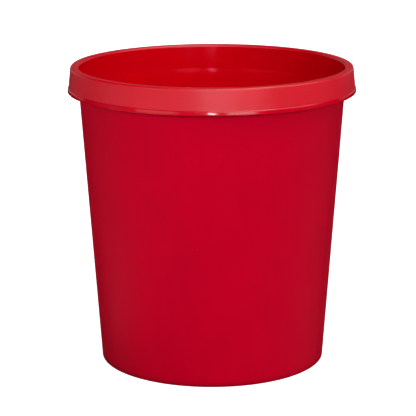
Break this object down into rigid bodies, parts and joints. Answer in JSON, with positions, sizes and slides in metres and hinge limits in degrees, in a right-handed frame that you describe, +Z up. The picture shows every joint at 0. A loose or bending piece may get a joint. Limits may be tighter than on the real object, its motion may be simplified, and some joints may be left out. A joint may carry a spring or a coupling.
{
  "type": "waste bin",
  "caption": "Round tapered open-top waste bin with a wide turned-down grip rim, a base panel held off the floor by a foot ring, and a small nesting shoulder inside the rim.",
  "frame": {"origin": "centre of the base, on the floor plane that the foot ring stands on", "axes": "+Z up along the bin's axis of revolution; +X and +Y lie in the floor and are interchangeable, because the bin is round"},
  "size_m": [0.315, 0.315, 0.328],
  "materials": {
    "bin_plastic": "through-coloured red polypropylene: satin wall, fine spark-eroded grain on the rim, polished rim edges"
  },
  "bodies": {
    "root": {"bin_body": "bin_plastic"}
  },
  "joints": []
}
